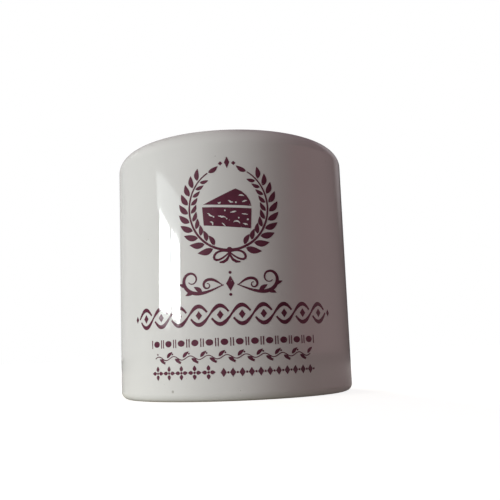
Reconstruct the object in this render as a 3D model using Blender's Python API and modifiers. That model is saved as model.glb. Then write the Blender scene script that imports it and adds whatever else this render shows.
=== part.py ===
"""A glazed stoneware jar of blue cheese, shut by a wax seal in its mouth.

Units are metres. The jar stands on the plane z = 0, its axis is the Z axis, and the
printed side faces -Y. Jar and seal are turned shapes: each is a half profile, run from
the axis at the top round to the axis at the base, that a Screw modifier turns once.
The jar is shut, so it is one solid below its seal.
"""

import math

import bpy

BODY_DIAMETER = 0.086
BODY_HEIGHT = 0.0919

SHOULDER_REACH = 0.0098
SHOULDER_DROP = 0.0072
LIP_INNER_ROUND = 0.0026

FOOT_ROUND = 0.0027
FOOT_RING_WIDTH = 0.0055
FOOT_RECESS_DEPTH = 0.0012
FOOT_RECESS_SLOPE = 0.0012

SEAL_SINK = 0.0065
SEAL_THICKNESS = 0.0050
SEAL_GAP = 0.0003
SEAL_MENISCUS_RISE = 0.0009
SEAL_MENISCUS_REACH = 0.0032

TURN_STEPS = 84
SHOULDER_STEPS = 9
LIP_STEPS = 5
FOOT_STEPS = 5
MENISCUS_STEPS = 4
AXIS_MERGE = 0.00005

GLAZE_COLOUR = (0.74, 0.73, 0.69, 1.0)
GLAZE_ROUGHNESS = 0.12
WAX_COLOUR = (0.72, 0.66, 0.52, 1.0)
WAX_ROUGHNESS = 0.42

BODY_RADIUS = BODY_DIAMETER / 2
CREST_RADIUS = BODY_RADIUS - SHOULDER_REACH
THROAT_RADIUS = CREST_RADIUS - LIP_INNER_ROUND
SEAL_TOP = BODY_HEIGHT - SEAL_SINK
SEAL_BOTTOM = SEAL_TOP - SEAL_THICKNESS
SEAL_RADIUS = THROAT_RADIUS - SEAL_GAP
MOUTH_FLOOR = SEAL_BOTTOM - SEAL_GAP


def clear_scene():
    for obj in list(bpy.data.objects):
        bpy.data.objects.remove(obj, do_unlink=True)


def make_collection(name):
    collection = bpy.data.collections.new(name)
    bpy.context.scene.collection.children.link(collection)
    return collection


def make_material(name, colour, roughness):
    material = bpy.data.materials.new(name)
    material.use_nodes = True
    shader = material.node_tree.nodes["Principled BSDF"]
    shader.inputs["Base Color"].default_value = colour
    shader.inputs["Roughness"].default_value = roughness
    shader.inputs["Metallic"].default_value = 0.0
    return material


def quarter(centre, reach, start_degrees, end_degrees, steps):
    """Points (r, z) of an elliptical arc; reach is (along r, along z)."""
    points = []
    for i in range(steps + 1):
        angle = math.radians(start_degrees + (end_degrees - start_degrees) * i / steps)
        points.append((
            centre[0] + reach[0] * math.cos(angle),
            centre[1] + reach[1] * math.sin(angle),
        ))
    return points


def jar_profile():
    """The jar from the floor of its mouth, over the lip, down the side and under the foot."""
    mouth = [(0.0, MOUTH_FLOOR), (THROAT_RADIUS, MOUTH_FLOOR)]
    lip_centre = (CREST_RADIUS, BODY_HEIGHT - LIP_INNER_ROUND)
    lip = quarter(lip_centre, (LIP_INNER_ROUND, LIP_INNER_ROUND), 180, 90, LIP_STEPS)
    shoulder_centre = (CREST_RADIUS, BODY_HEIGHT - SHOULDER_DROP)
    shoulder = quarter(shoulder_centre, (SHOULDER_REACH, SHOULDER_DROP), 90, 0, SHOULDER_STEPS)
    foot_centre = (BODY_RADIUS - FOOT_ROUND, FOOT_ROUND)
    foot = quarter(foot_centre, (FOOT_ROUND, FOOT_ROUND), 0, -90, FOOT_STEPS)
    ring_inside = foot_centre[0] - FOOT_RING_WIDTH
    underside = [
        (ring_inside, 0.0),
        (ring_inside - FOOT_RECESS_SLOPE, FOOT_RECESS_DEPTH),
        (0.0, FOOT_RECESS_DEPTH),
    ]
    return mouth + lip + shoulder[1:] + foot + underside


def seal_profile():
    """The wax: a flat disc that creeps up where it meets the throat."""
    inner = SEAL_RADIUS - SEAL_MENISCUS_REACH
    meniscus = []
    for i in range(MENISCUS_STEPS + 1):
        share = i / MENISCUS_STEPS
        rise = SEAL_MENISCUS_RISE * share * share
        meniscus.append((inner + SEAL_MENISCUS_REACH * share, SEAL_TOP + rise))
    return [(0.0, SEAL_TOP)] + meniscus + [(SEAL_RADIUS, SEAL_BOTTOM), (0.0, SEAL_BOTTOM)]


def turned_solid(name, profile, material, collection):
    mesh = bpy.data.meshes.new(name)
    points = [(radius, 0.0, height) for radius, height in profile]
    edges = [(i, i + 1) for i in range(len(points) - 1)]
    mesh.from_pydata(points, edges, [])
    obj = bpy.data.objects.new(name, mesh)
    obj.data.materials.append(material)
    collection.objects.link(obj)
    screw = obj.modifiers.new("Turn", "SCREW")
    screw.axis = "Z"
    screw.angle = math.tau
    screw.steps = TURN_STEPS
    screw.render_steps = TURN_STEPS
    screw.use_smooth_shade = True
    screw.use_merge_vertices = True
    screw.merge_threshold = AXIS_MERGE
    return obj


def build():
    clear_scene()
    collection = make_collection("blue_cheese_jar")
    glaze = make_material("cream_glaze", GLAZE_COLOUR, GLAZE_ROUGHNESS)
    wax = make_material("pale_wax", WAX_COLOUR, WAX_ROUGHNESS)
    turned_solid("jar", jar_profile(), glaze, collection)
    turned_solid("seal", seal_profile(), wax, collection)


build()
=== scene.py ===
"""The looks of a shut stoneware jar of blue cheese.

Everything is in metres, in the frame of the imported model: the jar stands on z = 0, its
axis is the Z axis and its printed side faces -Y. The print is drawn flat, in
millimetres, as the jar's side would lie unrolled, and is then bent round the jar.
"""
import math
import random

import bmesh
import bpy
from mathutils import Matrix, Vector


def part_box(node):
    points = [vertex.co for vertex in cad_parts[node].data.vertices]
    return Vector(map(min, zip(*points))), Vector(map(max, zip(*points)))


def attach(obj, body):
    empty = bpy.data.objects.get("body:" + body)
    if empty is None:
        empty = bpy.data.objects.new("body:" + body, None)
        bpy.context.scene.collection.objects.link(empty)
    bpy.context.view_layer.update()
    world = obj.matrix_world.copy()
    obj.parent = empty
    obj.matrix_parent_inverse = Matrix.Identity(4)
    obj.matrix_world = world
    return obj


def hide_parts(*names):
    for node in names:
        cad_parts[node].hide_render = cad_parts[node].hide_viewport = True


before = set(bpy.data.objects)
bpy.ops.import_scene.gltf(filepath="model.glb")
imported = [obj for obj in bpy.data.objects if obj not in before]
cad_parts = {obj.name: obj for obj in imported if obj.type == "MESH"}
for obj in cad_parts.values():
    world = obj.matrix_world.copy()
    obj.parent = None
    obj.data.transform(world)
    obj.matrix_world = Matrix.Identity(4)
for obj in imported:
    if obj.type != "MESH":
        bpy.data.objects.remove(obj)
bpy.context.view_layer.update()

MM = 0.001

jar_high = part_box("jar")[1]
seal_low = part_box("seal")[0]

JAR_RADIUS = jar_high.x
JAR_HEIGHT = jar_high.z
SHOULDER_REACH = 9.8 * MM
SHOULDER_DROP = 7.2 * MM
LIP_INNER_ROUND = 2.6 * MM
CREST_RADIUS = JAR_RADIUS - SHOULDER_REACH
THROAT_RADIUS = CREST_RADIUS - LIP_INNER_ROUND
SEAL_BOTTOM = seal_low.z
SEAL_TOP = SEAL_BOTTOM + 5.0 * MM
MOUTH_FLOOR = SEAL_BOTTOM - 0.3 * MM

# Modelling by hand, in code

WELD = 0.005 * MM
TURNED_SMOOTH = math.radians(40)
SKIN_SMOOTH = math.radians(30)


def leave_edit():
    if bpy.context.object and bpy.context.object.mode != "OBJECT":
        bpy.ops.object.mode_set(mode="OBJECT")


def choose_nothing():
    leave_edit()
    bpy.ops.object.select_all(action="DESELECT")


def choose_pieces(pieces):
    choose_nothing()
    for piece in pieces:
        piece.select_set(True)
    bpy.context.view_layer.objects.active = pieces[0]


def face_up(piece):
    """Turns every face of a flat drawing towards +Z."""
    bpy.context.view_layer.objects.active = piece
    bpy.ops.object.mode_set(mode="EDIT")
    bpy.ops.mesh.select_mode(type="FACE")
    bpy.ops.mesh.select_all(action="DESELECT")
    mesh = bmesh.from_edit_mesh(piece.data)
    for face in mesh.faces:
        face.normal_update()
        face.select = face.normal.z < 0
    bmesh.update_edit_mesh(piece.data)
    bpy.ops.mesh.flip_normals()
    leave_edit()


def settle(piece):
    """Applies the piece's place, turn and size to its mesh."""
    choose_pieces([piece])
    bpy.ops.object.transform_apply(location=True, rotation=True, scale=True)
    return piece


def named(piece, name):
    piece.name = name
    piece.data.name = name
    return piece


def finish_modifier(piece, modifier):
    choose_pieces([piece])
    bpy.ops.object.modifier_apply(modifier=modifier.name)


def joined(name, pieces):
    choose_pieces(pieces)
    if len(pieces) > 1:
        bpy.ops.object.join()
    return settle(named(bpy.context.object, name))


def discard(piece):
    bpy.data.objects.remove(piece, do_unlink=True)


def copied(piece, place, turn=0.0, size=1.0):
    """A copy with its own mesh, moved in the plane of the drawing, turned and resized."""
    choose_pieces([piece])
    bpy.ops.object.duplicate()
    copy = bpy.context.object
    copy.location = on_sheet(place)
    copy.rotation_euler = (0, 0, turn)
    copy.scale = (size, size, size)
    return copy


def mirrored(piece, middle):
    """A copy of a flat drawing, mirrored left to right about the middle."""
    copy = copied(piece, (2 * middle, 0))
    copy.scale = (-1, 1, 1)
    return settle(copy)


def repeated(piece, count, step):
    """The piece in a row, its copies a step in millimetres apart and welded where they meet."""
    row = piece.modifiers.new("Row", "ARRAY")
    row.count = count
    row.use_relative_offset = False
    row.use_constant_offset = True
    row.constant_offset_displace = (step * MM, 0, 0)
    row.use_merge_vertices = True
    row.merge_threshold = WELD
    finish_modifier(piece, row)
    return piece


def extruded_line(points):
    """One point, extruded from place to place; all is left selected in edit mode."""
    choose_nothing()
    bpy.ops.mesh.primitive_plane_add(size=MM, location=points[0])
    line = bpy.context.object
    bpy.ops.object.mode_set(mode="EDIT")
    bpy.ops.mesh.select_mode(type="VERT")
    bpy.ops.mesh.select_all(action="SELECT")
    bpy.ops.mesh.merge(type="CENTER")
    for here, there in zip(points, points[1:]):
        bpy.ops.mesh.extrude_vertices_move(TRANSFORM_OT_translate={"value": there - here})
    bpy.ops.mesh.select_all(action="SELECT")
    return line


def filled_outline(points):
    """A flat patch: a line extruded round its outline, closed and filled."""
    patch = extruded_line(points)
    bpy.ops.mesh.edge_face_add()
    leave_edit()
    return settle(patch)


# Turned pieces

def arc(centre, reach, start_degrees, end_degrees, steps):
    """Points (radius, height) of an elliptical arc."""
    points = []
    for i in range(steps + 1):
        angle = math.radians(start_degrees + (end_degrees - start_degrees) * i / steps)
        points.append((
            centre[0] + reach[0] * math.cos(angle),
            centre[1] + reach[1] * math.sin(angle),
        ))
    return points


def turned(name, profile, steps):
    """A half profile, given as points (radius, height), spun once round the axis."""
    piece = named(extruded_line([Vector((radius, 0, height)) for radius, height in profile]), name)
    bpy.ops.mesh.spin(steps=steps, angle=math.tau, center=(0, 0, 0), axis=(0, 0, 1))
    bpy.ops.mesh.select_all(action="SELECT")
    bpy.ops.mesh.remove_doubles(threshold=WELD)
    bpy.ops.mesh.normals_make_consistent(inside=False)
    leave_edit()
    settle(piece)
    bpy.ops.object.shade_smooth_by_angle(angle=TURNED_SMOOTH)
    return piece


# The glazed body

FOOT_ROUND = 2.7 * MM
FOOT_RING_WIDTH = 5.5 * MM
FOOT_RECESS_DEPTH = 1.2 * MM
GLAZE_THICKNESS = 0.12 * MM
GLAZE_LINE = 0.30 * MM
GLAZE_ENDS_AT = -61
BARE_FOOT_FROM = -64
JAR_STEPS = 192
LIP_STEPS = 12
SHOULDER_STEPS = 30
WALL_RINGS = 24
WALL_TOP_EDGE = 0.25 * MM
WALL_FOOT_EDGE = 0.12 * MM
GLAZED_FOOT_STEPS = 11
BARE_FOOT_STEPS = 5
# Inward from the foot ring's inner edge, and up.
RING_INNER_SLOPE = (
    (0.0, 0.0),
    (0.35 * MM, 0.10 * MM),
    (0.62 * MM, GLAZE_LINE),
    (0.80 * MM, GLAZE_LINE + 0.05 * MM),
    (1.20 * MM, FOOT_RECESS_DEPTH - 0.12 * MM),
    (1.70 * MM, FOOT_RECESS_DEPTH),
)
TURNED_FROM = 31.0 * MM
TURNING_RING = 2.2 * MM
TURNING_DEPTH = 0.07 * MM
TURNING_PHASE = 0.6
POINTS_A_RING = 4


def wall_points(top):
    """The straight wall, with a ring close to each end, so that it shades evenly."""
    heights = [top - WALL_TOP_EDGE]
    for i in range(1, WALL_RINGS):
        heights.append(top + (FOOT_ROUND - top) * i / WALL_RINGS)
    heights.append(FOOT_ROUND + WALL_FOOT_EDGE)
    return [(JAR_RADIUS, height) for height in heights]


def turning_rings():
    """The underside inside the foot ring, with the faint rings the turning tool leaves."""
    step = TURNING_RING / POINTS_A_RING
    points = []
    for i in range(int(TURNED_FROM / step)):
        wave = math.sin(math.tau * i / POINTS_A_RING + TURNING_PHASE)
        points.append((TURNED_FROM - i * step, FOOT_RECESS_DEPTH + TURNING_DEPTH * wave))
    return points + [(0.0, FOOT_RECESS_DEPTH)]


def jar_profile():
    """From the hidden floor of the mouth, over the lip, down the side and under the foot."""
    mouth = [(0.0, MOUTH_FLOOR), (THROAT_RADIUS, MOUTH_FLOOR)]
    lip_centre = (CREST_RADIUS, JAR_HEIGHT - LIP_INNER_ROUND)
    lip = arc(lip_centre, (LIP_INNER_ROUND, LIP_INNER_ROUND), 180, 90, LIP_STEPS)
    wall_top = JAR_HEIGHT - SHOULDER_DROP
    shoulder = arc((CREST_RADIUS, wall_top), (SHOULDER_REACH, SHOULDER_DROP), 90, 0, SHOULDER_STEPS)
    foot_centre = (JAR_RADIUS - FOOT_ROUND, FOOT_ROUND)
    glazed_foot = arc(foot_centre, (FOOT_ROUND, FOOT_ROUND), 0, GLAZE_ENDS_AT, GLAZED_FOOT_STEPS)
    bare_reach = (FOOT_ROUND - GLAZE_THICKNESS, FOOT_ROUND)
    bare_foot = arc(foot_centre, bare_reach, BARE_FOOT_FROM, -90, BARE_FOOT_STEPS)
    ring_inside = foot_centre[0] - FOOT_RING_WIDTH
    inner_slope = [(ring_inside - inward, height) for inward, height in RING_INNER_SLOPE]
    side = lip + shoulder[1:] + wall_points(wall_top) + glazed_foot
    return mouth + side + bare_foot + inner_slope + turning_rings()


def make_jar():
    return turned("jar_body", jar_profile(), JAR_STEPS)


# The wax seal

SEAL_STEPS = 144
WAX_RINGS = 52
WAX_DISH = 0.45 * MM
WAX_CREEP = 1.0 * MM
WAX_CREEP_REACH = 3.2 * MM
WAX_CREEP_CURVE = 2.4
WAX_CREEP_RINGS = 9
WAX_INTO_WALL = 0.12 * MM
WAX_RIM_WIDTH = 0.7 * MM
WAX_SWELL = 9.0 * MM
WAX_SWELL_DEPTH = 0.5 * MM
WAX_EDGE_WAVE = 5.0 * MM
WAX_EDGE_DEPTH = 0.7 * MM
POUR_SPOT = (0.007, -0.005, SEAL_TOP)
POUR_RING = 4.2 * MM
POUR_RING_DEPTH = 0.20 * MM
POUR_REACH = 24.0 * MM
POUR_WAVER = 3.0
POUR_WAVER_SIZE = 0.7
# The ringed texture has a ring on every such length of its own.
TEXTURE_RING = math.tau / 20


def seal_profile():
    """The wax: dished where it shrank, and creeping up the throat at its edge."""
    edge = THROAT_RADIUS + WAX_INTO_WALL
    inner = edge - WAX_CREEP_REACH
    points = []
    for i in range(WAX_RINGS + 1):
        share = i / WAX_RINGS
        dish = WAX_DISH * math.cos(math.pi / 2 * share) ** 2
        points.append((inner * share, SEAL_TOP - dish))
    for i in range(1, WAX_CREEP_RINGS + 1):
        share = i / WAX_CREEP_RINGS
        creep = WAX_CREEP * share ** WAX_CREEP_CURVE
        points.append((inner + WAX_CREEP_REACH * share, SEAL_TOP + creep))
    return points + [(edge, SEAL_BOTTOM), (0.0, SEAL_BOTTOM)]


def on_wax_top(point):
    """One on the wax that shows, and nothing on its hidden side and base."""
    return 1.0 if point.z > SEAL_TOP - WAX_CREEP else 0.0


def on_wax_rim(point):
    near_wall = math.hypot(point.x, point.y) > THROAT_RADIUS - WAX_RIM_WIDTH
    return on_wax_top(point) if near_wall else 0.0


def near_pour(point):
    """One where the wax was poured, falling to nothing at the reach of its rings."""
    away = (point - Vector(POUR_SPOT)).length / POUR_REACH
    return on_wax_top(point) * (1 + math.cos(math.pi * min(away, 1.0))) / 2


def displaced(piece, texture, depth, share, centre=None):
    """Raises and lowers points by the texture, each by its own share of the depth."""
    group = piece.vertex_groups.new(name=texture.name)
    for point in piece.data.vertices:
        group.add([point.index], share(point.co), "REPLACE")
    push = piece.modifiers.new(texture.name, "DISPLACE")
    push.texture = texture
    push.texture_coords = "OBJECT" if centre else "LOCAL"
    push.texture_coords_object = centre
    push.direction = "Z"
    push.mid_level = 0.5
    push.strength = depth
    push.vertex_group = group.name
    finish_modifier(piece, push)
    piece.vertex_groups.clear()


def cloud(name, size):
    texture = bpy.data.textures.new(name, "CLOUDS")
    texture.noise_scale = size
    texture.noise_depth = 1
    return texture


def make_pour_rings(piece):
    """Wavering rings that the poured wax left as it set, from a ringed texture."""
    rings = bpy.data.textures.new("pour_rings", "WOOD")
    rings.wood_type = "RINGNOISE"
    rings.noise_basis_2 = "SIN"
    rings.noise_scale = POUR_WAVER_SIZE
    rings.turbulence = POUR_WAVER
    choose_nothing()
    bpy.ops.object.empty_add(location=POUR_SPOT)
    centre = bpy.context.object
    centre.scale = [POUR_RING / TEXTURE_RING] * 3
    bpy.context.view_layer.update()
    displaced(piece, rings, POUR_RING_DEPTH, near_pour, centre)
    discard(centre)


def make_seal():
    piece = turned("wax_seal", seal_profile(), SEAL_STEPS)
    displaced(piece, cloud("wax_swells", WAX_SWELL), WAX_SWELL_DEPTH, on_wax_top)
    displaced(piece, cloud("wax_edge", WAX_EDGE_WAVE), WAX_EDGE_DEPTH, on_wax_rim)
    make_pour_rings(piece)
    return piece


# Drawing tools for the print, on a flat sheet in millimetres

INK_PROUD = 0.05 * MM
VEIN_PROUD = 0.09 * MM
INK_DEPTH = 0.16 * MM
WRAP_STEP = 0.75 * MM
LEAF_STEPS = 8
LEAF_BELLY = 0.8
LEAF_FULLNESS = 0.9
PEN_PRESSURE = 1.5


def on_sheet(point):
    return Vector((point[0] * MM, point[1] * MM, 0))


def draw_patch(outline):
    return filled_outline([on_sheet(point) for point in outline])


def draw_dot(place, radius, points=16):
    choose_nothing()
    bpy.ops.mesh.primitive_circle_add(
        vertices=points, radius=radius * MM, fill_type="NGON", location=on_sheet(place))
    return settle(bpy.context.object)


def draw_oval(place, width, height):
    oval = draw_dot((0, 0), 0.5, 20)
    oval.scale = (width, height, 1)
    oval.location = on_sheet(place)
    return settle(oval)


def draw_lozenge(place, width, height):
    x, y = place
    return draw_patch([
        (x - width / 2, y), (x, y - height / 2), (x + width / 2, y), (x, y + height / 2)])


def draw_bar(place, width, height):
    choose_nothing()
    bpy.ops.mesh.primitive_plane_add(size=MM, location=on_sheet(place))
    bar = bpy.context.object
    bar.scale = (width, height, 1)
    return settle(bar)


def draw_leaf(length, width, bow=0.0):
    """A pointed leaf along +X from the origin, its middle line bowed to one side."""
    upper = []
    lower = []
    for i in range(LEAF_STEPS + 1):
        share = i / LEAF_STEPS
        half = width / 2 * math.sin(math.pi * share ** LEAF_BELLY) ** LEAF_FULLNESS
        middle = bow * math.sin(math.pi * share)
        upper.append((length * share, middle + half))
        lower.append((length * share, middle - half))
    return draw_patch(lower + upper[-2:0:-1])


def draw_stroke(path, widths):
    """A flat stroke: a short edge pulled along the path, turned and widened on its way."""
    ends = [path[0]] + list(path) + [path[-1]]
    headings = [
        math.atan2(after[1] - before[1], after[0] - before[0])
        for before, after in zip(ends, ends[2:])
    ]
    pen = Vector((0, MM, 0))
    place = on_sheet(path[0])
    stroke = extruded_line([place, place - pen])
    bpy.ops.transform.translate(value=pen / 2)
    heading = 0.0
    width = 1.0
    for i, (spot, wanted_heading, wanted_width) in enumerate(zip(path, headings, widths)):
        target = on_sheet(spot)
        if i:
            bpy.ops.mesh.extrude_edges_move(TRANSFORM_OT_translate={"value": target - place})
        place = target
        grow = wanted_width / width
        # Without a window the operator turns clockwise for a positive angle.
        turn = heading - wanted_heading
        bpy.ops.transform.rotate(value=turn, orient_axis="Z", center_override=place)
        bpy.ops.transform.resize(value=(grow, grow, grow), center_override=place)
        heading = wanted_heading
        width = wanted_width
    leave_edit()
    return settle(stroke)


def swelling(steps, thin, thick, at=0.5):
    """Widths of a pen stroke that is thick at one share of its length and thin at its ends."""
    widths = []
    for i in range(steps + 1):
        share = i / steps
        near = share / at if share < at else (1 - share) / (1 - at)
        widths.append(thin + (thick - thin) * math.sin(math.pi / 2 * near) ** PEN_PRESSURE)
    return widths


def wrap_on_jar(piece, proud=INK_PROUD):
    """Stands the flat drawing up, bends it round the jar's side and makes it a thin skin."""
    face_up(piece)
    piece.rotation_euler = (math.pi / 2, 0, 0)
    piece.location = (0, -proud, 0)
    settle(piece)
    left = min(point.co.x for point in piece.data.vertices)
    right = max(point.co.x for point in piece.data.vertices)
    bpy.ops.object.mode_set(mode="EDIT")
    for i in range(math.ceil(left / WRAP_STEP), math.floor(right / WRAP_STEP) + 1):
        bpy.ops.mesh.select_all(action="SELECT")
        bpy.ops.mesh.bisect(plane_co=(i * WRAP_STEP, 0, 0), plane_no=(1, 0, 0))
    leave_edit()
    bend = piece.modifiers.new("Bend", "SIMPLE_DEFORM")
    bend.deform_method = "BEND"
    bend.deform_axis = "Z"
    bend.angle = (right - left) / JAR_RADIUS
    finish_modifier(piece, bend)
    piece.location = (0, -JAR_RADIUS, 0)
    settle(piece)
    skin = piece.modifiers.new("Skin", "SOLIDIFY")
    skin.thickness = INK_DEPTH
    skin.offset = -1
    finish_modifier(piece, skin)
    bpy.ops.object.shade_smooth_by_angle(angle=SKIN_SMOOTH)
    return piece


# The print's motifs: shapes in millimetres, a leaf as its length, width and bow

EMBLEM = (-1.0, 62.6)
SPRAY_RADIUS = (13.2, 14.0)
SPRAY_START = -93.0
SPRAY_END = 60.0
SPRAY_STEPS = 40
STEM_WIDTH = 0.9
STEM_THINS_BY = 0.5
SPRAY_LEAF = (5.2, 2.15, 0.35)
LEAF_PAIRS = 10
LEAVES_FROM = -67.0
LEAVES_SPAN = 121.0
LEAVES_CROWD = 0.96
LEAF_SIDES = ((-1, 1.04), (1, 0.76))
LEAVES_SHRINK_BY = 0.26
LEAF_STANDS_OFF = 0.6
LEAF_SLANT = math.radians(37)
TIP_LEAF_ON = 1.5
TIP_LEAF_SIZE = 0.74
BOW_STEPS = 16
BOW_REACH = 2.6
BOW_RISE = 1.75
BOW_HANG = 0.30
BOW_DROP = 0.7
RIBBON_END = ((0.0, -0.6), (0.3, -2.0), (1.0, -3.2), (2.1, -3.9), (3.4, -4.0))
KNOT_RADIUS = 1.0
# Place above the sprays, width and height.
TOP_LOZENGES = ((0.0, 1.5, 1.8, 4.0), (-2.2, 1.2, 1.5, 1.5), (2.2, 1.2, 1.5, 1.5))


def beside(place, x, y):
    return (place[0] + x, place[1] + y)


def spray_point(degrees):
    angle = math.radians(degrees)
    return beside(EMBLEM, SPRAY_RADIUS[0] * math.cos(angle), SPRAY_RADIUS[1] * math.sin(angle))


def heading_to(here, there):
    return math.atan2(there[1] - here[1], there[0] - here[0])


def spray_heading(degrees):
    return heading_to(spray_point(degrees - 0.5), spray_point(degrees + 0.5))


def draw_spray():
    """The right-hand spray: a stem, and leaves in pairs that grow smaller upwards."""
    shares = [i / SPRAY_STEPS for i in range(SPRAY_STEPS + 1)]
    stem = [spray_point(SPRAY_START + (SPRAY_END - SPRAY_START) * share) for share in shares]
    drawn = [draw_stroke(stem, [STEM_WIDTH - STEM_THINS_BY * share for share in shares])]
    leaf = draw_leaf(*SPRAY_LEAF)
    for i in range(LEAF_PAIRS):
        share = i / LEAF_PAIRS
        degrees = LEAVES_FROM + LEAVES_SPAN * share ** LEAVES_CROWD
        heading = spray_heading(degrees)
        for side, size in LEAF_SIDES:
            out = heading + side * math.pi / 2
            place = beside(spray_point(degrees), LEAF_STANDS_OFF * math.cos(out),
                           LEAF_STANDS_OFF * math.sin(out))
            size *= 1.0 - LEAVES_SHRINK_BY * share
            copy = copied(leaf, place, heading + side * LEAF_SLANT, size)
            copy.scale.y *= side
            drawn.append(copy)
    tip = spray_point(SPRAY_END + TIP_LEAF_ON)
    drawn.append(copied(leaf, tip, spray_heading(SPRAY_END), TIP_LEAF_SIZE))
    discard(leaf)
    return joined("spray", drawn)


def draw_bow():
    """The right half of the ribbon that ties the sprays: a loop and a tail."""
    knot = beside(EMBLEM, 0, -SPRAY_RADIUS[1])
    loop = []
    for i in range(BOW_STEPS + 1):
        angle = math.tau * i / BOW_STEPS
        across = BOW_REACH - BOW_REACH * math.cos(angle)
        rise = BOW_RISE * math.sin(angle) * math.sin(angle / 2)
        loop.append(beside(knot, across, rise - BOW_DROP - BOW_HANG * across))
    tail = [beside(knot, x, y) for x, y in RIBBON_END]
    tail_widths = swelling(len(tail) - 1, 0.45, 1.0, 0.7)
    return [draw_stroke(loop, swelling(BOW_STEPS, 0.4, 0.8)), draw_stroke(tail, tail_widths)]


def make_wreath():
    right = joined("half_wreath", [draw_spray()] + draw_bow())
    drawn = [right, mirrored(right, EMBLEM[0])]
    drawn.append(draw_dot(beside(EMBLEM, 0, -SPRAY_RADIUS[1]), KNOT_RADIUS, 14))
    top = beside(EMBLEM, 0, SPRAY_RADIUS[1])
    for x, y, width, height in TOP_LOZENGES:
        drawn.append(draw_lozenge(beside(top, x, y), width, height))
    return wrap_on_jar(joined("print_wreath", drawn))


CUT_FACE = ((-8.7, 0.7), (-8.3, -5.5), (7.3, -7.0), (7.7, -0.3))
WEDGE_TOP = ((-8.4, 1.5), (7.7, 0.55), (7.3, 2.3), (6.1, 4.2), (4.5, 5.6), (2.6, 6.5))
VEIN_SEED = 12
# Start, heading and number of steps.
VEINS = (
    (-7.0, -1.5, -0.5, 6), (-6.2, -4.4, 0.5, 4), (-3.4, -2.5, 0.2, 7), (-2.2, -4.9, -0.2, 4),
    (0.6, -1.5, -0.7, 5), (1.6, -4.9, 0.4, 6), (4.4, -2.1, -0.2, 6), (4.7, -5.3, 0.3, 4),
    (0.0, 2.5, 0.2, 5), (3.6, 4.1, -0.2, 4), (-3.4, 1.9, 0.1, 3), (4.7, 1.9, 0.2, 4),
)
POCKETS = ((-4.9, -2.8), (-0.6, -3.6), (3.4, -3.4), (6.4, -4.0), (-1.1, -0.8), (2.6, 1.8))


def make_wedge():
    """A wedge of cheese seen from one side: its cut face, and its top drawn as a triangle."""
    faces = [
        draw_patch([beside(EMBLEM, x, y) for x, y in outline])
        for outline in (CUT_FACE, WEDGE_TOP)
    ]
    return wrap_on_jar(joined("print_wedge", faces))


def draw_vein(dice, start, heading, steps, thick):
    """A crooked stroke that wanders from its start."""
    path = [start]
    for i in range(steps):
        heading += dice.uniform(-0.8, 0.8)
        step = dice.uniform(0.3, 0.55)
        path.append(beside(path[-1], step * math.cos(heading), step * math.sin(heading)))
    return draw_stroke(path, swelling(steps, 0.12, thick))


def make_veins():
    """The light veins and pockets in the wedge."""
    dice = random.Random(VEIN_SEED)
    drawn = []
    for x, y, heading, steps in VEINS:
        thick = dice.uniform(0.4, 0.62)
        drawn.append(draw_vein(dice, beside(EMBLEM, x, y), heading, steps, thick))
    for x, y in POCKETS:
        drawn.append(draw_dot(beside(EMBLEM, x, y), dice.uniform(0.2, 0.34), 9))
    return wrap_on_jar(joined("print_veins", drawn), VEIN_PROUD)


FLOURISH = (-1.1, 37.6)
SCROLL_CURL = 2.6
SCROLL_LEAN = -0.35
# Length, turns and steps of a scroll.
LONG_SCROLL = (27.0, 1.22, 46)
SHORT_SCROLL = (12.5, 1.15, 28)
SCROLL_LEAF = (3.6, 1.5, 0.25)
# Step on the long scroll, turn away from it, and size.
SCROLL_LEAVES = ((13, 0.75, 1.0), (18, -0.55, 0.85), (24, -0.60, 0.75))


def scroll_path(length, turns, steps):
    """A curve that leaves straight and curls ever tighter, as a pen's flourish does."""
    path = [(0.0, 0.0)]
    step = length / steps
    for i in range(steps):
        share = (i + 0.5) / steps
        heading = turns * math.tau * share ** SCROLL_CURL + SCROLL_LEAN
        path.append(beside(path[-1], step * math.cos(heading), step * math.sin(heading)))
    return path


def placed_path(path, place, turn=0.0, flip=1.0):
    placed = []
    for x, y in path:
        y *= flip
        placed.append(beside(place, x * math.cos(turn) - y * math.sin(turn),
                             x * math.sin(turn) + y * math.cos(turn)))
    return placed


def make_flourish():
    """Two mirrored scrolls with leaves, springing from a lozenge."""
    long_scroll = placed_path(scroll_path(*LONG_SCROLL), beside(FLOURISH, 2.2, -0.3), -0.06)
    short_scroll = placed_path(scroll_path(*SHORT_SCROLL), beside(FLOURISH, 2.4, -0.6), 0.30, -1.0)
    half = [
        draw_stroke(long_scroll, swelling(LONG_SCROLL[2], 0.30, 1.25, 0.42)),
        draw_stroke(short_scroll, swelling(SHORT_SCROLL[2], 0.28, 0.95, 0.4)),
    ]
    leaf = draw_leaf(*SCROLL_LEAF)
    for step, turn, size in SCROLL_LEAVES:
        here = long_scroll[step]
        half.append(copied(leaf, here, heading_to(here, long_scroll[step + 1]) + turn, size))
    discard(leaf)
    right = joined("scroll", half)
    drawn = [right, mirrored(right, FLOURISH[0]), draw_lozenge(FLOURISH, 2.8, 5.0)]
    for side in (1, -1):
        drawn.append(draw_dot(beside(FLOURISH, 0, side * 3.6), 0.5, 12))
    return wrap_on_jar(joined("print_flourish", drawn))


def row_start(middle, count, pitch):
    """The left end of a row of so many copies about its middle."""
    return (middle[0] - count / 2 * pitch, middle[1])


BRAID = (-1.2, 27.6)
BRAID_EYES = 10
BRAID_PITCH = 7.1
BRAID_RISE = 3.0
BRAID_GAP = 0.11
BRAID_STEPS = 12
BRAID_END = 1.5


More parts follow.
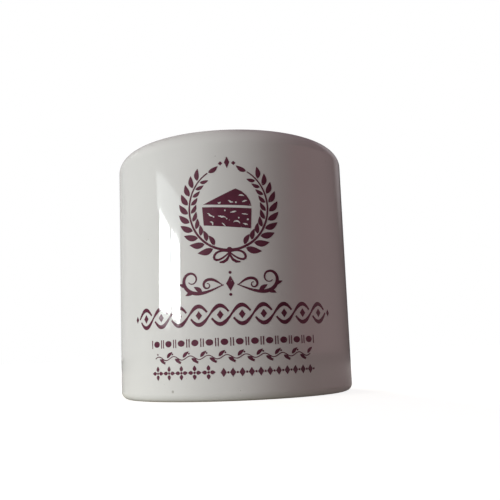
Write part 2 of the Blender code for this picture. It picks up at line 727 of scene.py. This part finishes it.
def braid_strand(side, start, end):
    """Part of one strand, between two crossings, as shares of the way from one to the other."""
    left = row_start(BRAID, BRAID_EYES, BRAID_PITCH)
    path = []
    for i in range(BRAID_STEPS + 1):
        share = start + (end - start) * i / BRAID_STEPS
        rise = side * BRAID_RISE * math.sin(math.pi * share)
        path.append(beside(left, share * BRAID_PITCH, rise))
    return draw_stroke(path, swelling(BRAID_STEPS, 0.6, 1.35))


def make_braid():
    """Two strands that pass over and under each other, with a lozenge in every eye."""
    left = row_start(BRAID, BRAID_EYES, BRAID_PITCH)
    unit = joined("braid", [
        braid_strand(1, 0.0, 1 - BRAID_GAP),
        braid_strand(-1, BRAID_GAP, 1.0),
        draw_lozenge(beside(left, BRAID_PITCH / 2, 0), 2.2, 2.9),
    ])
    drawn = [repeated(unit, BRAID_EYES, BRAID_PITCH)]
    for x in (-BRAID_END, BRAID_EYES * BRAID_PITCH + BRAID_END):
        drawn.append(draw_lozenge(beside(left, x, 0), 1.6, 2.4))
    return wrap_on_jar(joined("print_braid", drawn))


BEADS = (-1.2, 18.9)
BEAD_COUNT = 12
BEAD_PITCH = 4.9
BEAD_BAR_IN = 0.42


def make_beads():
    """Oval beads with a bar on each side."""
    left = row_start(BEADS, BEAD_COUNT, BEAD_PITCH)
    drawn = [draw_oval(beside(left, BEAD_PITCH / 2, 0), 2.5, 2.1)]
    for x in (BEAD_BAR_IN, BEAD_PITCH - BEAD_BAR_IN):
        drawn.append(draw_bar(beside(left, x, 0), 0.34, 2.7))
    return wrap_on_jar(repeated(joined("print_beads", drawn), BEAD_COUNT, BEAD_PITCH))


VINE = (-1.4, 14.2)
VINE_WAVES = 9
VINE_PITCH = 6.1
VINE_SWING = 0.62
VINE_STEM = 0.3
VINE_BERRY = 0.3
VINE_STEPS = 14
VINE_LEAF = (2.9, 1.15, 0.15)
# Place from the left end of a wave, and slant in degrees.
VINE_LEAVES = ((1.9, -0.15, -38), (4.9, 0.15, 42))
VINE_BERRIES = ((1.0, 1.35), (4.0, -1.35))


def make_vine():
    """A thin waving stem with a slanted leaf above and below in every wave."""
    left = row_start(VINE, VINE_WAVES, VINE_PITCH)
    stem = []
    for i in range(VINE_STEPS + 1):
        share = i / VINE_STEPS
        stem.append(beside(left, share * VINE_PITCH, VINE_SWING * math.sin(math.tau * share)))
    leaf = draw_leaf(*VINE_LEAF)
    drawn = [draw_stroke(stem, [VINE_STEM] * len(stem))]
    for x, y, slant in VINE_LEAVES:
        drawn.append(copied(leaf, beside(left, x, y), math.radians(slant)))
    for x, y in VINE_BERRIES:
        drawn.append(draw_dot(beside(left, x, y), VINE_BERRY, 10))
    discard(leaf)
    return wrap_on_jar(repeated(joined("print_vine", drawn), VINE_WAVES, VINE_PITCH))


FIRST_BLOSSOM = (-27.9, 9.4)
BLOSSOM_COUNT = 5
BLOSSOM_PITCH = 4.7
PETALS = 4
PETAL = (1.8, 1.25)
PETAL_OUT = 0.5
CHAIN = (-5.2, 9.2)
CHAIN_COUNT = 11
CHAIN_PITCH = 3.0


def draw_blossom(place):
    """Petals round a dot."""
    petal = draw_leaf(*PETAL)
    drawn = [draw_dot(place, 0.42, 10)]
    for i in range(PETALS):
        turn = math.tau * i / PETALS
        spot = beside(place, PETAL_OUT * math.cos(turn), PETAL_OUT * math.sin(turn))
        drawn.append(copied(petal, spot, turn))
    discard(petal)
    return joined("blossom", drawn)


def make_last_row():
    """Blossoms on the left, and on the right a finer chain of lozenges and dots."""
    blossoms = repeated(draw_blossom(FIRST_BLOSSOM), BLOSSOM_COUNT, BLOSSOM_PITCH)
    link = joined("link", [
        draw_lozenge(beside(CHAIN, 1.0, 0), 2.0, 2.9),
        draw_dot(beside(CHAIN, 2.5, 0), 0.38, 10),
    ])
    chain = repeated(link, CHAIN_COUNT, CHAIN_PITCH)
    return wrap_on_jar(joined("print_last_row", [blossoms, chain]))


# Shader nodes

BLACK = (0.0, 0.0, 0.0, 1.0)
WHITE = (1.0, 1.0, 1.0, 1.0)


def node(tree, kind, **settings):
    """A new node with its own settings, such as its operation."""
    made = tree.nodes.new(kind)
    for name, value in settings.items():
        setattr(made, name, value)
    return made


def feed(tree, source, target):
    """Links an output, or sets a plain value."""
    if isinstance(source, bpy.types.NodeSocket):
        tree.links.new(source, target)
    else:
        target.default_value = source


def fed(tree, made, *sources):
    """The outputs of a node whose inputs are fed in their order."""
    for source, socket in zip(sources, made.inputs):
        feed(tree, source, socket)
    return made.outputs


def math_node(tree, operation, first, second):
    return fed(tree, node(tree, "ShaderNodeMath", operation=operation), first, second)[0]


def times(tree, first, second):
    return math_node(tree, "MULTIPLY", first, second)


def plus(tree, first, second):
    return math_node(tree, "ADD", first, second)


def vector_math(tree, operation, *vectors):
    made = node(tree, "ShaderNodeVectorMath", operation=operation)
    return fed(tree, made, *vectors)["Value"]


def split_xyz(tree, place):
    return fed(tree, node(tree, "ShaderNodeSeparateXYZ"), place)


def noise(tree, place, scale, detail, roughness=0.5):
    made = node(tree, "ShaderNodeTexNoise")
    feed(tree, place, made.inputs["Vector"])
    feed(tree, scale, made.inputs["Scale"])
    made.inputs["Detail"].default_value = detail
    made.inputs["Roughness"].default_value = roughness
    return made.outputs["Fac"]


def ramp(tree, value, low, high, to_low=0.0, to_high=1.0):
    made = node(tree, "ShaderNodeMapRange", interpolation_type="SMOOTHSTEP")
    return fed(tree, made, value, low, high, to_low, to_high)["Result"]


def mix_colour(tree, share, first, second):
    """Inputs 6 and 7 are the colours of a Mix node that is set to colour."""
    made = node(tree, "ShaderNodeMix", data_type="RGBA")
    feed(tree, share, made.inputs["Factor"])
    feed(tree, first, made.inputs[6])
    feed(tree, second, made.inputs[7])
    return made.outputs[2]


def mix_shader(tree, share, first, second):
    return fed(tree, node(tree, "ShaderNodeMixShader"), share, first, second)[0]


def mix_value(tree, share, first, second):
    made = node(tree, "ShaderNodeMix", data_type="FLOAT")
    feed(tree, share, made.inputs[0])
    feed(tree, first, made.inputs[2])
    feed(tree, second, made.inputs[3])
    return made.outputs[0]


# Node groups

TONE_SOCKETS = (("Place", "Vector"), ("Colour", "Color"), ("Patch scale", "Float"),
                ("Amount", "Float"))
DOT_SOCKETS = (("Place", "Vector"), ("Cell scale", "Float"), ("Radius share", "Float"),
               ("Share of cells", "Float"))
RELIEF_SOCKETS = (("Place", "Vector"), ("Swell depth", "Float"), ("Peel depth", "Float"),
                  ("Pinholes", "Float"))
SWELL_SCALE = 45.0
PEEL_SCALE = 520.0
PINHOLE_DEPTH = -0.05
SMALLEST_DOT = 0.35
DOT_SPREAD = 0.9
DOT_CORE = 0.45


def new_group(name, sockets, result, kind):
    """A shader node group with its named inputs and its one result."""
    group = bpy.data.node_groups.new(name, "ShaderNodeTree")
    for label, socket in sockets:
        group.interface.new_socket(name=label, in_out="INPUT", socket_type="NodeSocket" + socket)
    group.interface.new_socket(name=result, in_out="OUTPUT", socket_type="NodeSocket" + kind)
    given = group.nodes.new("NodeGroupInput").outputs
    return group, given, group.nodes.new("NodeGroupOutput").inputs[result]


def tone_drift_group():
    """Lets a colour wander a little, lighter and darker, over soft patches."""
    group, given, result = new_group("tone_drift", TONE_SOCKETS, "Colour", "Color")
    drift = noise(group, given["Place"], given["Patch scale"], 3.0, 0.55)
    swing = times(group, math_node(group, "SUBTRACT", drift, 0.5), given["Amount"])
    tint = node(group, "ShaderNodeVectorMath", operation="SCALE")
    feed(group, given["Colour"], tint.inputs[0])
    feed(group, plus(group, times(group, swing, 2.0), 1.0), tint.inputs["Scale"])
    feed(group, tint.outputs[0], result)
    return group


def dots_group(name, dimensions):
    """Small round dots strewn at random, one to some of the cells of a grid."""
    group, given, result = new_group(name, DOT_SOCKETS, "Mask", "Float")
    cells = node(group, "ShaderNodeTexVoronoi", feature="F1", voronoi_dimensions=dimensions)
    feed(group, given["Place"], cells.inputs["Vector"])
    feed(group, given["Cell scale"], cells.inputs["Scale"])
    pick = node(group, "ShaderNodeSeparateColor")
    feed(group, cells.outputs["Color"], pick.inputs[0])
    present = math_node(group, "LESS_THAN", pick.outputs[0], given["Share of cells"])
    size = plus(group, times(group, pick.outputs[1], DOT_SPREAD), SMALLEST_DOT)
    radius = times(group, given["Radius share"], size)
    core = times(group, radius, DOT_CORE)
    round_dot = ramp(group, cells.outputs["Distance"], core, radius, 1.0, 0.0)
    feed(group, times(group, round_dot, present), result)
    return group


def glaze_relief_group():
    """Height of a fired glaze in millimetres: slow swells, fine peel and sunken pinholes."""
    group, given, result = new_group("glaze_relief", RELIEF_SOCKETS, "Height", "Float")
    swells = noise(group, given["Place"], SWELL_SCALE, 1.0)
    peel = noise(group, given["Place"], PEEL_SCALE, 1.5)
    skin = plus(group, times(group, swells, given["Swell depth"]),
                times(group, peel, given["Peel depth"]))
    feed(group, plus(group, skin, times(group, given["Pinholes"], PINHOLE_DEPTH)), result)
    return group


def use_group(tree, group, *values):
    """Places a group in a material; the values are for its inputs, in their order."""
    return fed(tree, node(tree, "ShaderNodeGroup", node_tree=group), *values)[0]


# Materials

GLAZE_COLOUR = (0.745, 0.725, 0.690, 1.0)
GLAZE_THIN_COLOUR = (0.56, 0.52, 0.44, 1.0)
GLAZE_SPECK_COLOUR = (0.20, 0.13, 0.08, 1.0)
PINHOLE_COLOUR = (0.30, 0.26, 0.21, 1.0)
STONEWARE_COLOUR = (0.47, 0.385, 0.29, 1.0)
SAND_COLOUR = (0.22, 0.16, 0.11, 1.0)
INK_COLOUR = (0.130, 0.036, 0.058, 1.0)
WAX_COLOUR = (0.79, 0.705, 0.545, 1.0)
# Painted shade: the colour that darkens the pits of broken bubbles in the wax.
WAX_PIT_PAINTED_SHADE = (0.46, 0.38, 0.25, 1.0)
WAX_BLOOM_COLOUR = (0.83, 0.78, 0.67, 1.0)
# A drift of tone: the scale of its patches, and its amount.
GLAZE_DRIFT = (38.0, 0.05)
STONEWARE_DRIFT = (90.0, 0.14)
INK_DRIFT = (420.0, 0.30)
WAX_DRIFT = (75.0, 0.22)
# Strewn dots: the scale of their cells, their radius in a cell, and the share of cells with one.
SPECKS = (120.0, 0.042, 0.30)
PINHOLES = (170.0, 0.040, 0.30)
SAND = (900.0, 0.32, 0.35)
INK_VOIDS = (1300.0, 0.30, 0.07)
WAX_BUBBLE_PITS_AND_SHADE = (135.0, 0.13, 0.20)
# Larger marks on the front: along the side and up from the foot, and radius, in millimetres.
KILN_MARKS = ((-21.9, 3.5, 0.62), (-23.6, 56.0, 0.30), (-31.5, 54.8, 0.22))
MARK_CORE = 0.4
# How strongly a stain, or the painted shade in the wax's pits, covers the colour under it.
SPECK_STRENGTH = 0.55
MARK_STRENGTH = 0.6
CREST_STRENGTH = 0.5
FOOT_STRENGTH = 0.4
SAND_STRENGTH = 0.6
VOID_STRENGTH = 0.35
PIT_SHADE_STRENGTH = 0.6
BLOOM_STRENGTH = 0.35
# A noise: its scale, its detail and its roughness.
EDGE_NOISE = (240.0, 3.0)
SMEAR_NOISE = (70.0, 4.0, 0.6)
GRAIN_NOISE = (2600.0, 3.0, 0.7)
BLOOM_NOISE = (200.0, 5.0, 0.65)
SKIN_NOISE = (330.0, 3.0)
# The part of a noise over which something sets in.
SMEAR_SPAN = (0.35, 0.75)
BLOOM_SPAN = (0.48, 0.72)
# Heights between which the glaze thins at the crest, thins at the foot, and ends.
CREST_EDGE = (JAR_HEIGHT - 0.5 * MM, JAR_HEIGHT + 0.2 * MM)
FOOT_EDGE = (GLAZE_LINE + 0.15 * MM, GLAZE_LINE + 0.9 * MM)
BARE_EDGE = (GLAZE_LINE + 0.08 * MM, GLAZE_LINE + 0.20 * MM)
EDGE_WAVER = 0.35 * MM
GLAZE_RELIEF = (0.03, 0.0016)
GLAZE_ROUGHNESS = (0.045, 0.075)
INK_ROUGHNESS = 0.055
STONEWARE_ROUGHNESS = 0.85
STONEWARE_GRAIN = 0.05
WAX_ROUGHNESS = (0.26, 0.5)
WAX_SKIN = 0.06
WAX_PIT_DEPTH = -0.30
WAX_GLOW = 0.25
WAX_GLOW_COLOURS = (1.0, 0.75, 0.45)
WAX_GLOW_DEPTH = 2.5 * MM


def new_material(name):
    material = bpy.data.materials.new(name)
    material.use_nodes = True
    tree = material.node_tree
    place = node(tree, "ShaderNodeTexCoord").outputs["Object"]
    return material, tree, tree.nodes["Principled BSDF"], place


def set_normal(tree, shader, height):
    """Height is in millimetres."""
    bump = node(tree, "ShaderNodeBump")
    bump.inputs["Strength"].default_value = 1.0
    bump.inputs["Distance"].default_value = MM
    feed(tree, height, bump.inputs["Height"])
    feed(tree, bump.outputs[0], shader.inputs["Normal"])


def on_side(along, up):
    """The point of the jar's side at an arc length from the front and a height, in millimetres."""
    angle = along * MM / JAR_RADIUS
    return (JAR_RADIUS * math.sin(angle), -JAR_RADIUS * math.cos(angle), up * MM)


def stained_or_shaded(tree, mask, amount, colour, stain):
    return mix_colour(tree, times(tree, mask, amount), colour, stain)


def with_kiln_marks(tree, place, marks):
    for along, up, radius in KILN_MARKS:
        away = vector_math(tree, "DISTANCE", place, on_side(along, up))
        mark = ramp(tree, away, radius * MARK_CORE * MM, radius * MM, 1.0, 0.0)
        marks = math_node(tree, "MAXIMUM", marks, mark)
    return marks


def stoneware_colour(tree, groups, place):
    body = use_group(tree, groups["tone"], place, STONEWARE_COLOUR, *STONEWARE_DRIFT)
    sand = use_group(tree, groups["dots"], place, *SAND)
    return stained_or_shaded(tree, sand, SAND_STRENGTH, body, SAND_COLOUR)


def glaze_material(groups):
    """Cream glaze, worn thin on the crest and at the foot, and bare stoneware under it."""
    material, tree, shader, place = new_material("cream_glaze")
    waver = times(tree, noise(tree, place, *EDGE_NOISE), EDGE_WAVER)
    height = plus(tree, split_xyz(tree, place)["Z"], waver)
    crest = ramp(tree, height, *CREST_EDGE)
    foot = ramp(tree, height, *FOOT_EDGE, 1.0, 0.0)
    bare = ramp(tree, height, *BARE_EDGE, 1.0, 0.0)
    specks = use_group(tree, groups["dots"], place, *SPECKS)
    pinholes = use_group(tree, groups["dots"], place, *PINHOLES)
    colour = use_group(tree, groups["tone"], place, GLAZE_COLOUR, *GLAZE_DRIFT)
    for mask, amount, stain in (
            (specks, SPECK_STRENGTH, GLAZE_SPECK_COLOUR),
            (with_kiln_marks(tree, place, pinholes), MARK_STRENGTH, PINHOLE_COLOUR),
            (crest, CREST_STRENGTH, GLAZE_THIN_COLOUR),
            (foot, FOOT_STRENGTH, GLAZE_THIN_COLOUR),
            (bare, 1.0, stoneware_colour(tree, groups, place))):
        colour = stained_or_shaded(tree, mask, amount, colour, stain)
    feed(tree, colour, shader.inputs["Base Color"])
    gloss = ramp(tree, noise(tree, place, *SMEAR_NOISE), *SMEAR_SPAN, *GLAZE_ROUGHNESS)
    feed(tree, mix_value(tree, bare, gloss, STONEWARE_ROUGHNESS), shader.inputs["Roughness"])
    relief = use_group(tree, groups["relief"], place, *GLAZE_RELIEF, pinholes)
    grain = times(tree, noise(tree, place, *GRAIN_NOISE), STONEWARE_GRAIN)
    set_normal(tree, shader, mix_value(tree, bare, relief, grain))
    return material


def ink_material(groups):
    """Maroon ink fired under the glaze: uneven in density, with small voids."""
    material, tree, shader, place = new_material("maroon_underglaze")
    ink = use_group(tree, groups["tone"], place, INK_COLOUR, *INK_DRIFT)
    voids = use_group(tree, groups["dots"], place, *INK_VOIDS)
    feed(tree, stained_or_shaded(tree, voids, VOID_STRENGTH, ink, GLAZE_COLOUR), shader.inputs["Base Color"])
    shader.inputs["Roughness"].default_value = INK_ROUGHNESS
    set_normal(tree, shader, use_group(tree, groups["relief"], place, *GLAZE_RELIEF, 0.0))
    return material


def wax_material(groups):
    """Poured wax: bubbles that broke at its skin, with painted shade in their pits, a dull bloom, and
    a soft glow from within.
    """
    material, tree, shader, place = new_material("poured_wax")
    wax = use_group(tree, groups["tone"], place, WAX_COLOUR, *WAX_DRIFT)
    bubble_pits_and_shade = use_group(tree, groups["flat_dots"], place, *WAX_BUBBLE_PITS_AND_SHADE)
    bloom = ramp(tree, noise(tree, place, *BLOOM_NOISE), *BLOOM_SPAN)
    # The pits of the broken bubbles are dented by the bump and darkened with painted shade.
    colour = stained_or_shaded(tree, bubble_pits_and_shade, PIT_SHADE_STRENGTH, wax, WAX_PIT_PAINTED_SHADE)
    colour = stained_or_shaded(tree, bloom, BLOOM_STRENGTH, colour, WAX_BLOOM_COLOUR)
    feed(tree, colour, shader.inputs["Base Color"])
    feed(tree, mix_value(tree, bloom, *WAX_ROUGHNESS), shader.inputs["Roughness"])
    skin = times(tree, noise(tree, place, *SKIN_NOISE), WAX_SKIN)
    set_normal(tree, shader, plus(tree, skin, times(tree, bubble_pits_and_shade, WAX_PIT_DEPTH)))
    shader.inputs["Subsurface Weight"].default_value = WAX_GLOW
    shader.inputs["Subsurface Radius"].default_value = WAX_GLOW_COLOURS
    shader.inputs["Subsurface Scale"].default_value = WAX_GLOW_DEPTH
    return material


# The studio

# Distance and height are in radii of the jar, angles in radians.
CAMERA_AWAY = 6.22
CAMERA_UP = 0.3525
CAMERA_YAW = 0.0253
CAMERA_PITCH = 0.1466
CAMERA_ROLL = -0.0383
CAMERA_FOCUS_PX = 694.2
CAMERA_CLIP = 0.005
PHOTO_PX = 500
SENSOR_MM = 36.0


def direction(azimuth, elevation):
    """Azimuth from the printed side, towards +X, and elevation, in radians."""
    level = math.cos(elevation)
    return Vector((math.sin(azimuth) * level, -math.cos(azimuth) * level, math.sin(elevation)))


def add_camera():
    """The photograph's camera: close by, a little above the table and tilted up."""
    ahead = direction(math.pi - CAMERA_YAW, CAMERA_PITCH)
    right = Vector((math.cos(CAMERA_YAW), -math.sin(CAMERA_YAW), 0.0))
    above = right.cross(ahead)
    turned_right = math.cos(CAMERA_ROLL) * right + math.sin(CAMERA_ROLL) * above
    turned_above = -math.sin(CAMERA_ROLL) * right + math.cos(CAMERA_ROLL) * above
    camera = bpy.data.objects.new("camera", bpy.data.cameras.new("camera"))
    camera.data.sensor_width = SENSOR_MM
    camera.data.lens = SENSOR_MM * CAMERA_FOCUS_PX / PHOTO_PX
    camera.data.clip_start = CAMERA_CLIP
    columns = Matrix((turned_right, turned_above, -ahead)).transposed()
    place = Vector((0, -CAMERA_AWAY * JAR_RADIUS, CAMERA_UP * JAR_RADIUS))
    camera.matrix_world = Matrix.Translation(place) @ columns.to_4x4()
    bpy.context.scene.collection.objects.link(camera)
    bpy.context.scene.camera = camera


WINDOW_AZIMUTH = math.radians(-62.0)
WINDOW_AWAY = 1.6
WINDOW_TINT = (0.912, 0.978, 0.985, 1.0)
# Strength of the light, and corners: across the window and up from the table, in metres.
WINDOW_PANES = (
    (44.4, ((-0.410, 0.138), (-0.040, 0.121), (-0.008, 0.342), (-0.323, 0.398))),
    (44.4, ((0.010, 0.115), (0.249, 0.100), (0.287, 0.304), (0.042, 0.337))),
    (3.2, ((-0.430, 0.406), (0.330, 0.306), (0.330, 0.430), (-0.430, 0.510))),
    (3.4, ((-0.422, 0.095), (-0.06, 0.082), (-0.06, 0.119), (-0.422, 0.134))),
)


def emission_material(name, colour, strength):
    material = bpy.data.materials.new(name)
    material.use_nodes = True
    tree = material.node_tree
    tree.nodes.clear()
    glow = node(tree, "ShaderNodeEmission")
    glow.inputs["Color"].default_value = colour
    glow.inputs["Strength"].default_value = strength
    feed(tree, glow.outputs[0], node(tree, "ShaderNodeOutputMaterial").inputs["Surface"])
    return material


def add_window():
    """Two panes with a bar between them, and the dimmer light above and below them."""
    toward = direction(WINDOW_AZIMUTH, 0.0)
    sideways = direction(WINDOW_AZIMUTH + math.pi / 2, 0.0)
    for number, (strength, corners) in enumerate(WINDOW_PANES):
        points = [toward * WINDOW_AWAY + sideways * x + Vector((0, 0, z)) for x, z in corners]
        pane = named(filled_outline(points), f"window_pane_{number}")
        pane.data.materials.append(emission_material(f"window_light_{number}", WINDOW_TINT, strength))
        pane.visible_camera = False


FLOOR_REACH = 4.0
FLOOR_COLOUR = (0.42, 0.41, 0.39, 1.0)
FLOOR_COLOUR_NEAR = (0.43, 0.415, 0.355, 1.0)
FLOOR_COLOUR_FAR = (0.08, 0.08, 0.08, 1.0)
FLOOR_NEAR = (1.2 * JAR_RADIUS, 1.9 * JAR_RADIUS)
FLOOR_FAR = (0.25, 0.80)
FLOOR_ROUGHNESS = 0.9
FLOOR_SHINE = 0.1
# What the camera sees of the table: its light near and far, and where it goes over.
FLOOR_LIFT = (0.86, 1.0)
FLOOR_LIFTS = (0.10, 0.60)
FLOOR_GREYS = (0.15, 1.50)
FLOOR_GLOW = 0.03
FLOOR_GLOW_NEAR = 0.07
FLOOR_GLOW_UNDER_JAR = 0.75
UNDER_JAR = (0.90 * JAR_RADIUS, 0.94 * JAR_RADIUS)
BACKDROP = 1.0
BACKDROP_BESIDE = 0.80
BESIDE_SPAN = (0.45, 0.80)


def not_behind(tree, way_back):
    """Nothing behind the jar and one beside and before it, by how far a way leads back."""
    return ramp(tree, way_back, *BESIDE_SPAN, 1.0, 0.0)


def is_camera_ray(tree):
    return node(tree, "ShaderNodeLightPath").outputs["Is Camera Ray"]


def floor_material():
    """A pale table: near white to the camera, greyer for it far from the jar, save behind it."""
    material, tree, shader, place = new_material("pale_floor")
    shader.inputs["Roughness"].default_value = FLOOR_ROUGHNESS
    shader.inputs["Specular IOR Level"].default_value = FLOOR_SHINE
    shader.inputs["Emission Color"].default_value = WHITE
    away = vector_math(tree, "LENGTH", place)
    seen = is_camera_ray(tree)
    near = ramp(tree, away, *FLOOR_NEAR, 1.0, 0.0)
    way_back = math_node(tree, "DIVIDE", split_xyz(tree, place)["Y"], away)
    greyed = times(tree, ramp(tree, away, *FLOOR_GREYS), not_behind(tree, way_back))
    colour = mix_colour(tree, near, FLOOR_COLOUR, FLOOR_COLOUR_NEAR)
    colour = mix_colour(tree, ramp(tree, away, *FLOOR_FAR), colour, FLOOR_COLOUR_FAR)
    colour = mix_colour(tree, times(tree, greyed, seen), colour, BLACK)
    feed(tree, colour, shader.inputs["Base Color"])
    lift = ramp(tree, away, *FLOOR_LIFTS, *FLOOR_LIFT)
    lift = mix_value(tree, greyed, lift, BACKDROP_BESIDE)
    around = mix_value(tree, near, FLOOR_GLOW, FLOOR_GLOW_NEAR)
    glow = ramp(tree, away, *UNDER_JAR, FLOOR_GLOW_UNDER_JAR, around)
    feed(tree, mix_value(tree, seen, glow, lift), shader.inputs["Emission Strength"])
    beneath = node(tree, "ShaderNodeNewGeometry").outputs["Backfacing"]
    clear = node(tree, "ShaderNodeBsdfTransparent").outputs[0]
    both = mix_shader(tree, beneath, shader.outputs[0], clear)
    feed(tree, both, tree.nodes["Material Output"].inputs["Surface"])
    return material


def add_floor():
    """A round table top that shows from above and not from beneath."""
    choose_nothing()
    bpy.ops.mesh.primitive_circle_add(vertices=64, radius=FLOOR_REACH, fill_type="NGON")
    floor = named(bpy.context.object, "floor")
    floor.data.materials.append(floor_material())


# The colour of the room by azimuth in degrees, evenly changed between these.
ROOM_ROUND = (
    (-180, (0.28, 0.28, 0.28)),
    (-160, (0.47, 0.46, 0.46)),
    (-130, (0.30, 0.285, 0.30)),
    (-114, (0.02, 0.02, 0.03)),
    (-86, (0.01, 0.01, 0.01)),
    (-66, (0.14, 0.09, 0.13)),
    (-50, (0.42, 0.34, 0.38)),
    (-30, (0.46, 0.42, 0.42)),
    (-14, (0.01, 0.005, 0.005)),
    (50, (0.005, 0.0, 0.0)),
    (72, (0.47, 0.19, 0.24)),
    (95, (0.48, 0.31, 0.33)),
    (118, (0.24, 0.17, 0.18)),
    (138, (0.05, 0.04, 0.04)),
    (160, (0.03, 0.03, 0.03)),
    (180, (0.28, 0.28, 0.28)),
)
CEILING_LEFT = (0.44, 0.40, 0.40, 1.0)
CEILING_RIGHT = (0.14, 0.10, 0.12, 1.0)
CEILING_SEAM = (-0.09, 0.07)
CEILING_RISE = (0.33, 0.48)
GLOW_AZIMUTH = math.radians(146.0)
GLOW_ELEVATION = math.radians(24.0)
GLOW_COLOUR = (0.46, 0.43, 0.44, 1.0)
GLOW_WIDE = math.radians(17.0)
GLOW_CORE = math.radians(5.0)


def room_walls(tree, way):
    """The colour of the room's walls in the azimuth of a way."""
    azimuth = math_node(tree, "ARCTAN2", way["X"], times(tree, way["Y"], -1.0))
    walls = node(tree, "ShaderNodeValToRGB")
    stops = walls.color_ramp.elements
    while len(stops) < len(ROOM_ROUND):
        stops.new(1.0)
    for stop, (degrees, colour) in zip(stops, ROOM_ROUND):
        stop.position = degrees / 360 + 0.5
        stop.color = (*colour, 1.0)
    share = plus(tree, math_node(tree, "DIVIDE", azimuth, math.tau), 0.5)
    feed(tree, share, walls.inputs[0])
    return walls.outputs[0]


def set_world():
    """A dim room round the jar, and a pale backdrop where the camera looks past it."""
    world = bpy.data.worlds.new("room")
    bpy.context.scene.world = world
    world.use_nodes = True
    tree = world.node_tree
    tree.nodes.clear()
    looked = node(tree, "ShaderNodeTexCoord").outputs["Generated"]
    way = split_xyz(tree, looked)
    ceiling = mix_colour(tree, ramp(tree, way["X"], *CEILING_SEAM), CEILING_LEFT, CEILING_RIGHT)
    room = mix_colour(tree, ramp(tree, way["Z"], *CEILING_RISE), room_walls(tree, way), ceiling)
    near_glow = vector_math(tree, "DOT_PRODUCT", looked, direction(GLOW_AZIMUTH, GLOW_ELEVATION))
    glow = ramp(tree, near_glow, math.cos(GLOW_WIDE), math.cos(GLOW_CORE))
    dim = node(tree, "ShaderNodeBackground")
    feed(tree, mix_colour(tree, glow, room, GLOW_COLOUR), dim.inputs["Color"])
    pale = node(tree, "ShaderNodeBackground")
    pale.inputs["Color"].default_value = WHITE
    backdrop = mix_value(tree, not_behind(tree, way["Y"]), BACKDROP, BACKDROP_BESIDE)
    feed(tree, backdrop, pale.inputs["Strength"])
    both = mix_shader(tree, is_camera_ray(tree), dim.outputs[0], pale.outputs[0])
    feed(tree, both, node(tree, "ShaderNodeOutputWorld").inputs["Surface"])


BACK_LIGHT_AZIMUTH = math.radians(-165.0)
BACK_LIGHT_ELEVATION = math.radians(28.0)
BACK_LIGHT_AWAY = 1.5
BACK_LIGHT_SIZE = 0.42
BACK_LIGHT_POWER = 12.0


def add_back_light():
    """A soft light behind the jar, for its back and the seal, and without a glare on the glaze."""
    toward = direction(BACK_LIGHT_AZIMUTH, BACK_LIGHT_ELEVATION)
    light = bpy.data.lights.new("back_light", "AREA")
    light.shape = "DISK"
    light.size = BACK_LIGHT_SIZE
    light.energy = BACK_LIGHT_POWER
    lamp = bpy.data.objects.new("back_light", light)
    lamp.location = toward * BACK_LIGHT_AWAY
    lamp.rotation_euler = toward.to_track_quat("Z", "Y").to_euler()
    lamp.visible_glossy = False
    bpy.context.scene.collection.objects.link(lamp)


# Putting it together

def dress(piece, material, node_name=None):
    piece.data.materials.clear()
    piece.data.materials.append(material)
    if node_name:
        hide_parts(node_name)
    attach(piece, "root")


def main():
    bpy.context.scene.view_settings.view_transform = "Standard"
    add_camera()
    groups = {
        "tone": tone_drift_group(),
        "dots": dots_group("strewn_dots", "3D"),
        "flat_dots": dots_group("strewn_dots_flat", "2D"),
        "relief": glaze_relief_group(),
    }
    glaze = glaze_material(groups)
    ink = ink_material(groups)
    dress(make_jar(), glaze, "jar")
    dress(make_seal(), wax_material(groups), "seal")
    for make in (make_wreath, make_wedge, make_flourish, make_braid, make_beads, make_vine,
                 make_last_row):
        dress(make(), ink)
    dress(make_veins(), glaze)
    add_window()
    add_floor()
    set_world()
    add_back_light()


main()
